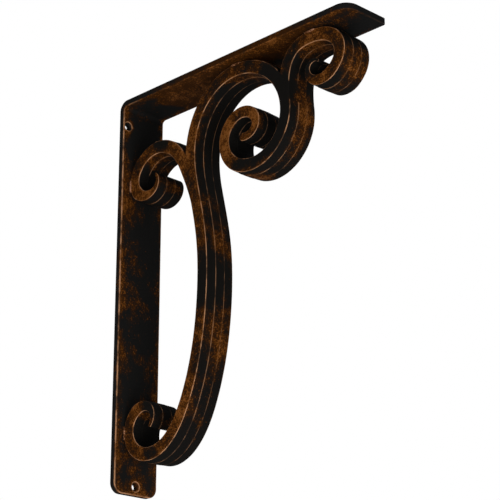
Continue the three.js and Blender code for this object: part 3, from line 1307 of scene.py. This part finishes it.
    def build(self, finish: bpy.types.Material) -> bpy.types.Object:
        """Makes the strap.

        Args:
            finish: Its material.

        Returns:
            The strap as a plain mesh that carries its flat coordinates.
        """
        plate = self._plate()
        self._drill(plate)
        work = bmesh.new()
        work.from_mesh(plate.data)
        for k in range(self.bend_pieces + 1):
            at = self.leg_length + self.bend_length * k / self.bend_pieces
            geometry = [*work.verts, *work.edges, *work.faces]
            bmesh.ops.bisect_plane(work, geom=geometry, dist=CUT_TOLERANCE, plane_co=(at, 0, 0),
                                   plane_no=(1, 0, 0))
        bmesh.ops.triangulate(work, faces=[face for face in work.faces if len(face.verts) > 4])
        work.to_mesh(plate.data)
        work.free()
        flat = plate.data.attributes.new("flat_place", "FLOAT_VECTOR", "POINT")
        for vertex in plate.data.vertices:
            flat.data[vertex.index].vector = vertex.co
        for vertex in plate.data.vertices:
            vertex.co = self._bent(vertex.co.copy())
        faces_outward(plate)
        plate.data.materials.clear()
        plate.data.materials.append(finish)
        weighted(plate)
        return plate


@dataclass
class WeldBeads:
    """Small rippled weld beads where the scrolls touch the strap."""

    sizes: BracketSizes
    radius: float = 1.0 * MILLI
    half_length: float = 6.2 * MILLI
    ripple_share: float = 0.14
    ripple_step: float = 1.7 * MILLI
    stations: int = 60
    segments: int = 14
    end_power: float = 3.0
    least_share: float = 0.02
    unevenness: float = 0.5 * MILLI
    uneven_size: float = 2.2 * MILLI
    widening: float = 0.8
    stand_off: float = 1.6 * MILLI
    raised_share: float = 0.10
    first_seed: float = 7.0

    def _bead(self, centre: Vector, run: Vector, tree: SweepTree, finish: bpy.types.Material,
              seed: float) -> bpy.types.Object:
        """Sweeps one bead.

        Args:
            centre: The bead's middle.
            run: The unit direction in which it runs.
            tree: The tree that sweeps.
            finish: The bead's material.
            seed: Picks the bead's own unevenness.

        Returns:
            The bead.
        """
        places, share = [], []
        for k in range(self.stations + 1):
            way = -1 + 2 * k / self.stations
            distance = way * self.half_length
            end = math.sqrt(max(0.0, 1 - abs(way) ** self.end_power))
            wave = 1 + self.ripple_share * abs(math.sin(math.pi * distance / self.ripple_step))
            places.append(centre + run * distance)
            share.append(max(self.least_share, end) * wave)
        bead = carrier("bead", places)
        set_numbers(bead, "share", share)
        turns = np.linspace(0, 2 * math.pi, self.segments, endpoint=False)
        ring = [(self.radius * math.cos(t), self.radius * math.sin(t)) for t in turns]
        section = carrier("section", [(a, o, 0.0) for a, o in ring], closed=True)
        set_numbers(section, "section_across", [a for a, _ in ring])
        set_numbers(section, "section_out", [o for _, o in ring])
        tree.sweep(bead, {
            "Section": section, "Unevenness": self.unevenness, "Uneven Size": self.uneven_size,
            "Widening": self.widening, "Seed": seed, "Finish": finish,
        })
        removed(section)
        return bead

    def build(self, contacts: Sequence[tuple[Vector, Vector, Vector]], tree: SweepTree,
              finish: bpy.types.Material) -> bpy.types.Object:
        """Makes the beads of all contacts on both sides of the bars.

        Args:
            contacts: For each contact its place, the direction of its bead and the way from strap to scroll.
            tree: The tree that sweeps.
            finish: The beads' material.

        Returns:
            All beads as one object.
        """
        beads = []
        for number, (place, run, away) in enumerate(contacts):
            for side in Side:
                centre = place + away * self.stand_off
                centre.y = side.value * (self.sizes.bar_width / 2 + self.radius * self.raised_share)
                seed = self.first_seed + number * len(Side) + side.value
                beads.append(self._bead(centre, run, tree, finish, seed))
        work = bmesh.new()
        for bead in beads:
            work.from_mesh(bead.data)
        mesh = bpy.data.meshes.new("weld_beads")
        work.to_mesh(mesh)
        work.free()
        removed(*beads)
        mesh.materials.append(finish)
        joined = bpy.data.objects.new("weld_beads", mesh)
        bpy.context.scene.collection.objects.link(joined)
        mesh.shade_smooth()
        return joined


@dataclass
class Studio:
    """Pale floor, soft lights and the camera at the photo's angle.

    The floor's glow and the world's full white are for the camera alone. As a light the world is dim.
    """

    floor_height: float = -1.45
    floor_half: float = 6.0
    floor_glow: float = 0.42
    floor_roughness: float = 0.9
    floor_colour: tuple[float, float, float, float] = (0.82, 0.82, 0.82, 1.0)
    white: tuple[float, float, float, float] = (1.0, 1.0, 1.0, 1.0)
    world_light: float = 0.14
    camera_at: tuple[float, float, float] = (1.18631, -1.01018, -0.50744)
    camera_turn: float = -0.7756
    camera_rise: float = -0.34237
    focal_pixels: float = 1710.975
    frame_pixels: float = 500.0
    sensor_width: float = 36.0
    sight: float = 50.0
    target: Vector = field(default_factory=lambda: Vector((0.12, 0.0, 0.02)))

    def build_floor(self) -> bpy.types.Object:
        """Makes the floor.

        Returns:
            The floor's object.
        """
        half, height = self.floor_half, self.floor_height
        corners = [(-half, -half, height), (half, -half, height), (half, half, height), (-half, half, height)]
        mesh = bpy.data.meshes.new("pale_floor")
        mesh.from_pydata(corners, [], [(0, 1, 2, 3)])
        floor = bpy.data.objects.new("pale_floor", mesh)
        bpy.context.scene.collection.objects.link(floor)
        material = bpy.data.materials.new("pale_floor")
        material.use_nodes = True
        shader = material.node_tree.nodes["Principled BSDF"]
        shader.inputs["Base Color"].default_value = self.floor_colour
        shader.inputs["Roughness"].default_value = self.floor_roughness
        graph = NodeGraph(material.node_tree)
        graph.feed(shader.inputs["Emission Color"], self.white)
        seen = graph.add("ShaderNodeLightPath").outputs["Is Camera Ray"]
        graph.feed(shader.inputs["Emission Strength"], graph.math("MULTIPLY", seen, self.floor_glow))
        mesh.materials.append(material)
        return floor

    def build_world(self) -> None:
        """Makes the world: white behind the bracket, dimmer as a light."""
        world = bpy.data.worlds.new("studio")
        bpy.context.scene.world = world
        world.use_nodes = True
        graph = NodeGraph(world.node_tree)
        back = world.node_tree.nodes["Background"]
        seen = graph.add("ShaderNodeLightPath").outputs["Is Camera Ray"]
        graph.feed(back.inputs["Color"], self.white)
        strength = graph.math("MULTIPLY_ADD", seen, 1.0 - self.world_light, self.world_light)
        graph.feed(back.inputs["Strength"], strength)

    def light(self, name: str, at: tuple[float, float, float], size: float, power: float,
              mirrored: bool = True) -> bpy.types.Object:
        """Adds a soft square light aimed at the bracket.

        Args:
            name: The light's name.
            at: Its place.
            size: Its width in metres.
            power: Its power in watts.
            mirrored: Whether glossy surfaces reflect it.

        Returns:
            The light's object.
        """
        data = bpy.data.lights.new(name, "AREA")
        data.size = size
        data.energy = power
        lamp = bpy.data.objects.new(name, data)
        bpy.context.scene.collection.objects.link(lamp)
        lamp.location = at
        lamp.visible_glossy = mirrored
        lamp.rotation_euler = (lamp.location - self.target).to_track_quat("Z", "Y").to_euler()
        return lamp

    def build_lights(self) -> None:
        """Adds the lights."""
        self.light("key_from_near_side", (0.75, -1.85, -0.75), 1.3, 24)
        self.light("under_front", (1.7, -0.5, -0.95), 1.0, 18)
        self.light("back_fill", (-1.2, 1.8, 0.6), 1.4, 12, mirrored=False)
        self.light("top_fill", (0.6, 0.3, 2.0), 1.4, 10)

    def build_camera(self) -> None:
        """Makes the camera."""
        data = bpy.data.cameras.new("camera")
        data.sensor_width = self.sensor_width
        data.lens = self.focal_pixels / self.frame_pixels * self.sensor_width
        data.clip_end = self.sight
        camera = bpy.data.objects.new("camera", data)
        bpy.context.scene.collection.objects.link(camera)
        camera.location = self.camera_at
        turn, rise = self.camera_turn, self.camera_rise
        back = Vector((math.cos(rise) * math.cos(turn), math.cos(rise) * math.sin(turn), math.sin(rise)))
        camera.rotation_euler = back.to_track_quat("Z", "Y").to_euler()
        bpy.context.scene.camera = camera

    def build(self) -> None:
        """Makes the floor, world, lights and camera, and the plain colour rendering."""
        self.build_floor()
        self.build_world()
        self.build_lights()
        self.build_camera()
        bpy.context.scene.view_settings.view_transform = "Standard"


def hand_over(piece: bpy.types.Object, slot: Slot, *nodes: str) -> None:
    """Attaches a finished piece to the root body, hides the CAD nodes that it stands for and logs its size.

    Args:
        piece: The piece.
        slot: Not used.
        *nodes: The CAD nodes that it stands for.
    """
    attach(piece, "root")
    if nodes:
        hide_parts(*nodes)
    LOG.info("%s: %d vertices, %d faces", piece.name, len(piece.data.vertices), len(piece.data.polygons))


def contact_list(main: np.ndarray, wall: np.ndarray, arm: np.ndarray,
                 sizes: BracketSizes) -> list[tuple[Vector, Vector, Vector]]:
    """Finds where the scrolls touch the strap. On the wall leg the beads sag a little below the contact.

    Args:
        main: The main scroll's line.
        wall: The wall-side scroll's line.
        arm: The arm-side scroll's line.
        sizes: The bracket's sizes.

    Returns:
        For each contact its place, the direction of its bead and the way from strap to scroll.
    """
    up, out = Vector((0, 0, 1)), Vector((1, 0, 0))
    contacts = []
    for line, sag in ((main, LOWER_BEAD_SAG), (wall, UPPER_BEAD_SAG)):
        height = line[np.argmin(line[:, 0]), 1] - sag
        contacts.append((Vector((sizes.strap_thickness, 0, height)), up, out))
    for line in (main, arm):
        reach = line[np.argmax(line[:, 1]), 0]
        contacts.append((Vector((reach, 0, sizes.under_arm)), out, -up))
    return contacts


SCROLL_SPOTS = (
    WearAndLightSpot((0.213, -0.028, 0.116), 32 * MILLI, -1.30),
    WearAndLightSpot((0.214, -0.028, 0.144), 28 * MILLI, -1.10),
    WearAndLightSpot((0.196, -0.028, 0.166), 26 * MILLI, -0.85),
    WearAndLightSpot((0.226, -0.028, 0.168), 22 * MILLI, -0.70),
    WearAndLightSpot((0.172, -0.028, 0.182), 22 * MILLI, -0.55),
    # These two darken the deep part of the arch's ceiling: painted shade.
    WearAndLightSpot((0.160, 0.006, 0.160), 30 * MILLI, -0.40),
    WearAndLightSpot((0.126, 0.006, 0.166), 34 * MILLI, -0.55),
    WearAndLightSpot((0.180, -0.026, 0.088), 24 * MILLI, -0.90),
    WearAndLightSpot((0.199, -0.026, 0.093), 22 * MILLI, -0.90),
    WearAndLightSpot((0.160, -0.026, 0.084), 22 * MILLI, -0.80),
    WearAndLightSpot((0.162, 0.000, 0.124), 26 * MILLI, -1.20),
    WearAndLightSpot((0.108, 0.010, 0.100), 40 * MILLI, -0.55),
    WearAndLightSpot((0.108, 0.010, 0.138), 30 * MILLI, -0.35),
    WearAndLightSpot((0.045, 0.004, 0.118), 20 * MILLI, -0.60),
    WearAndLightSpot((0.194, -0.004, 0.118), 19 * MILLI, -0.60),
    WearAndLightSpot((0.165, 0.004, 0.072), 22 * MILLI, 0.60),
    # Darkens a volute's eye: painted shade.
    WearAndLightSpot((0.249, -0.022, 0.150), 18 * MILLI, -0.70),
    WearAndLightSpot((0.043, -0.016, -0.120), 14 * MILLI, -1.10),
    WearAndLightSpot((0.039, -0.016, -0.111), 13 * MILLI, 0.0, mutes_line=True),
    WearAndLightSpot((0.037, -0.016, -0.113), 7 * MILLI, -0.50),
    WearAndLightSpot((0.050, -0.018, 0.140), 20 * MILLI, -0.40),
    WearAndLightSpot((0.119, -0.024, -0.008), 46 * MILLI, -0.74),
    WearAndLightSpot((0.120, -0.024, -0.090), 30 * MILLI, -0.62),
    WearAndLightSpot((0.085, 0.000, -0.170), 30 * MILLI, -0.30),
    WearAndLightSpot((0.020, -0.016, 0.125), 16 * MILLI, -0.20),
    WearAndLightSpot((0.041, -0.016, -0.160), 16 * MILLI, -0.16),
    WearAndLightSpot((0.150, -0.016, 0.115), 36 * MILLI, 0.20),
    WearAndLightSpot((0.180, -0.018, 0.124), 16 * MILLI, 0.34),
    WearAndLightSpot((0.249, -0.016, 0.174), 24 * MILLI, 0.12),
    WearAndLightSpot((0.276, -0.022, 0.150), 20 * MILLI, -0.26),
    WearAndLightSpot((0.088, -0.018, 0.124), 22 * MILLI, 0.16),
    WearAndLightSpot((0.128, 0.004, -0.070), 42 * MILLI, 0.40),
    WearAndLightSpot((0.120, 0.006, 0.020), 30 * MILLI, 0.22),
    WearAndLightSpot((0.230, 0.004, 0.112), 34 * MILLI, 0.40),
    WearAndLightSpot((0.214, 0.004, 0.078), 28 * MILLI, 0.42),
    WearAndLightSpot((0.288, 0.006, 0.140), 34 * MILLI, 0.42),
)
STRAP_SPOTS = (
    WearAndLightSpot((0.060, -0.004, 0.187), 34 * MILLI, 0.36, film=0.6),
    WearAndLightSpot((0.094, 0.0, 0.187), 45 * MILLI, 0.30, film=0.6),
    WearAndLightSpot((0.15, -0.010, 0.187), 60 * MILLI, 0.26, film=0.5),
    WearAndLightSpot((0.22, -0.015, 0.187), 50 * MILLI, 0.26, film=0.4),
    WearAndLightSpot((0.283, -0.012, 0.187), 26 * MILLI, 0.26),
    WearAndLightSpot((0.294, 0.010, 0.187), 20 * MILLI, -0.20),
    WearAndLightSpot((0.006, 0.0, -0.187), 38 * MILLI, 0.30),
    WearAndLightSpot((0.006, -0.016, -0.145), 32 * MILLI, 0.28),
    WearAndLightSpot((0.006, 0.015, -0.105), 24 * MILLI, 0.26),
    WearAndLightSpot((0.006, -0.016, -0.060), 30 * MILLI, 0.24),
    WearAndLightSpot((0.006, -0.010, -0.015), 28 * MILLI, 0.24),
    WearAndLightSpot((0.006, -0.018, 0.035), 30 * MILLI, 0.26),
    WearAndLightSpot((0.006, -0.018, 0.085), 26 * MILLI, 0.32),
    WearAndLightSpot((0.006, -0.018, 0.112), 20 * MILLI, 0.30),
    WearAndLightSpot((0.006, 0.026, 0.030), 30 * MILLI, -0.22),
    WearAndLightSpot((0.006, 0.026, -0.040), 40 * MILLI, -0.22),
    WearAndLightSpot((0.006, 0.006, 0.160), 28 * MILLI, -0.30),
    WearAndLightSpot((0.006, -0.020, 0.162), 12 * MILLI, 0.28),
    # Painted highlight: the bright rim of the far hole's countersink, which the scroll hides.
    WearAndLightSpot((0.0064, 0.0245, 0.168), 5 * MILLI, 0.60),
)


def build_scrolls(sizes: BracketSizes, tree: SweepTree, finish: bpy.types.Material) -> list[np.ndarray]:
    """Makes the three scroll bars and hands them over.

    Args:
        sizes: The bracket's sizes.
        tree: The tree that sweeps.
        finish: The bars' material.

    Returns:
        The lines of the main, the wall-side and the arm-side scroll.
    """
    section = BarSection(sizes.bar_width, sizes.bar_thickness)
    main_bar = ScrollBar("main_bar", "main_scroll", MAIN_FORM, sizes, section)
    main_line = main_bar.placed(None, False)
    main_piece = main_bar.build(main_line, tree, finish)
    rising = main_line[:int(np.argmax(main_line[:, 1]))]
    wall_root = rising[rising[:, 1] <= sizes.foot + sizes.wall_root_height][-1]
    arm_root = main_line[np.argmax(main_line[:, 0])]
    widening = 1.0 + JOINT_CLEARANCE / sizes.bar_width
    cutter = main_bar.build(main_line, tree, finish, widening, "cutter")
    lines, pieces = [main_line], []
    for name, node, form, root, outward in (
        ("wall_side_bar", "wall_side_scroll", WALL_FORM, wall_root, False),
        ("arm_side_bar", "arm_side_scroll", ARM_FORM, arm_root, True),
    ):
        bar = ScrollBar(name, node, form, sizes, section)
        line = bar.placed((float(root[0]), float(root[1])), outward)
        piece = bar.build(line, tree, finish)
        bar.trim(piece, cutter)
        bar.fade_edges(piece, main_piece, bar.joint_fade)
        main_bar.fade_edges(main_piece, piece, bar.joint_fade)
        weighted(piece)
        lines.append(line)
        pieces.append((piece, node))
    weighted(main_piece)
    removed(cutter)
    hand_over(main_piece, Slot.SCROLL, main_bar.node)
    for piece, node in pieces:
        hand_over(piece, Slot.SCROLL, node)
    return lines


def main() -> None:
    """Builds the bracket's visual model and the studio in order."""
    logging.basicConfig(level=logging.INFO, format="%(name)s: %(message)s")
    sizes = BracketSizes()
    strap = Strap(sizes)
    scroll_finish = RubbedFinishWithPaintedLight(
        "rubbed_scroll", side_bias=0.10, face_bias=-0.08, line_strength=0.80, spots=SCROLL_SPOTS,
    )
    strap_finish = StrapFinish(
        "rubbed_strap", side_bias=-0.50, face_bias=-0.26, line_strength=0.80, line_width=1.5 * MILLI,
        halo_width=11 * MILLI, halo_strength=0.24, dark=(0.0092, 0.0090, 0.0086, 1.0), spots=STRAP_SPOTS,
        strap=strap,
    )
    # The beads' paler brown and copper and stronger rubbing are rubbed weld metal and, in part, painted
    # highlight.
    weld_finish = RubbedFinishWithPaintedLight(
        "rubbed_weld", side_bias=0.20, face_bias=0.20, line_strength=0.0,
        brown=(0.14, 0.052, 0.020, 1.0), copper=(0.34, 0.165, 0.090, 1.0),
    )
    tree = SweepTree()
    lines = build_scrolls(sizes, tree, scroll_finish.build())
    hand_over(strap.build(strap_finish.build()), Slot.STRAP, "wall_and_arm_strap")
    hand_over(WeldBeads(sizes).build(contact_list(*lines, sizes), tree, weld_finish.build()), Slot.SCROLL)
    bpy.data.node_groups.remove(tree.tree)
    Studio().build()

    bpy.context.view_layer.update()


if __name__ == "__main__":
    main()
